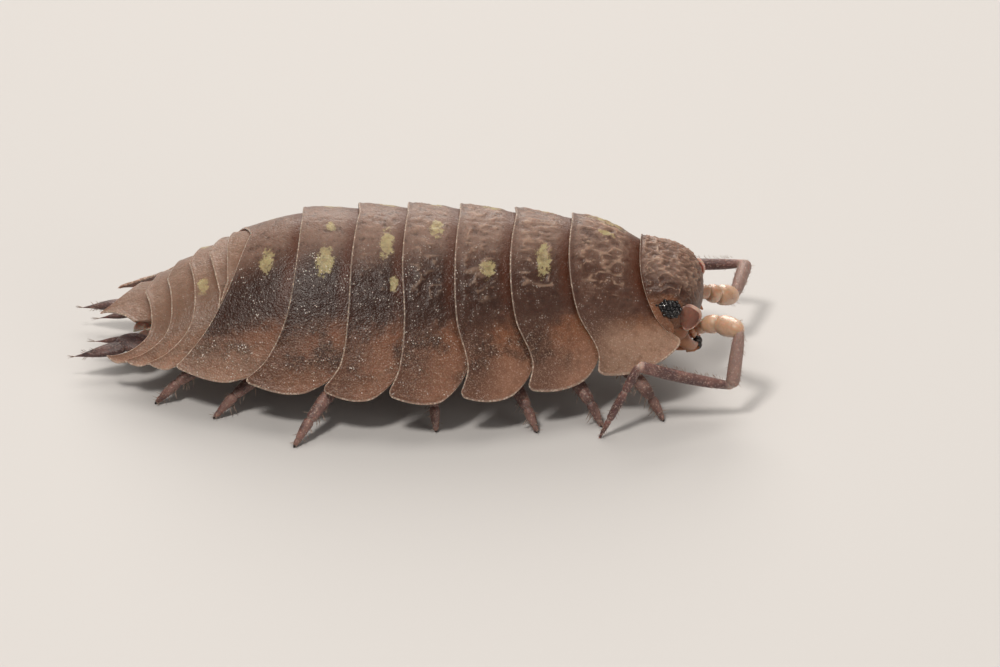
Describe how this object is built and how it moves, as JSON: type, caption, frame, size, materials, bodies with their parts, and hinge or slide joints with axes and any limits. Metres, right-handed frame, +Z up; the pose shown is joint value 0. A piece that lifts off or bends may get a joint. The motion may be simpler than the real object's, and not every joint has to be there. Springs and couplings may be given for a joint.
{
  "type": "woodlouse",
  "caption": "life-size still model of an adult common shiny woodlouse standing, with overlapping back plates, walking legs, bent antennae, compound eyes and pointed tail limbs",
  "frame": {"origin": "on the ground, under the middle of the whole animal's box", "axes": "+X towards the head along the body, +Y to the animal's left, +Z up"},
  "size_m": [0.0178, 0.009, 0.0047],
  "materials": {
    "shell": "satin, finely pitted chitin with translucent margins",
    "limb": "satin chitin, mottled purple brown",
    "eye": "glossy black, faceted",
    "pale_cuticle": "thin translucent amber and cream cuticle"
  },
  "bodies": {
    "root": {"cephalon": "shell", "telson": "shell", "uropod_left": "shell", "uropod_right": "shell", "pereonite_1": "shell", "pereonite_2": "shell", "pereonite_3": "shell", "pereonite_4": "shell", "pereonite_5": "shell", "pereonite_6": "shell", "pereonite_7": "shell", "pleonite_1": "shell", "pleonite_2": "shell", "pleonite_3": "shell", "pleonite_4": "shell", "pleonite_5": "shell", "antenna_left": "limb", "antenna_right": "limb", "leg_left_1": "limb", "leg_left_2": "limb", "leg_left_3": "limb", "leg_left_4": "limb", "leg_left_5": "limb", "leg_left_6": "limb", "leg_left_7": "limb", "leg_right_1": "limb", "leg_right_2": "limb", "leg_right_3": "limb", "leg_right_4": "limb", "leg_right_5": "limb", "leg_right_6": "limb", "leg_right_7": "limb", "eye_left": "eye", "eye_right": "eye", "mouthparts": "pale_cuticle", "pleopods_1": "pale_cuticle", "pleopods_2": "pale_cuticle", "pleopods_3": "pale_cuticle", "pleopods_4": "pale_cuticle", "pleopods_5": "pale_cuticle"}
  },
  "joints": []
}
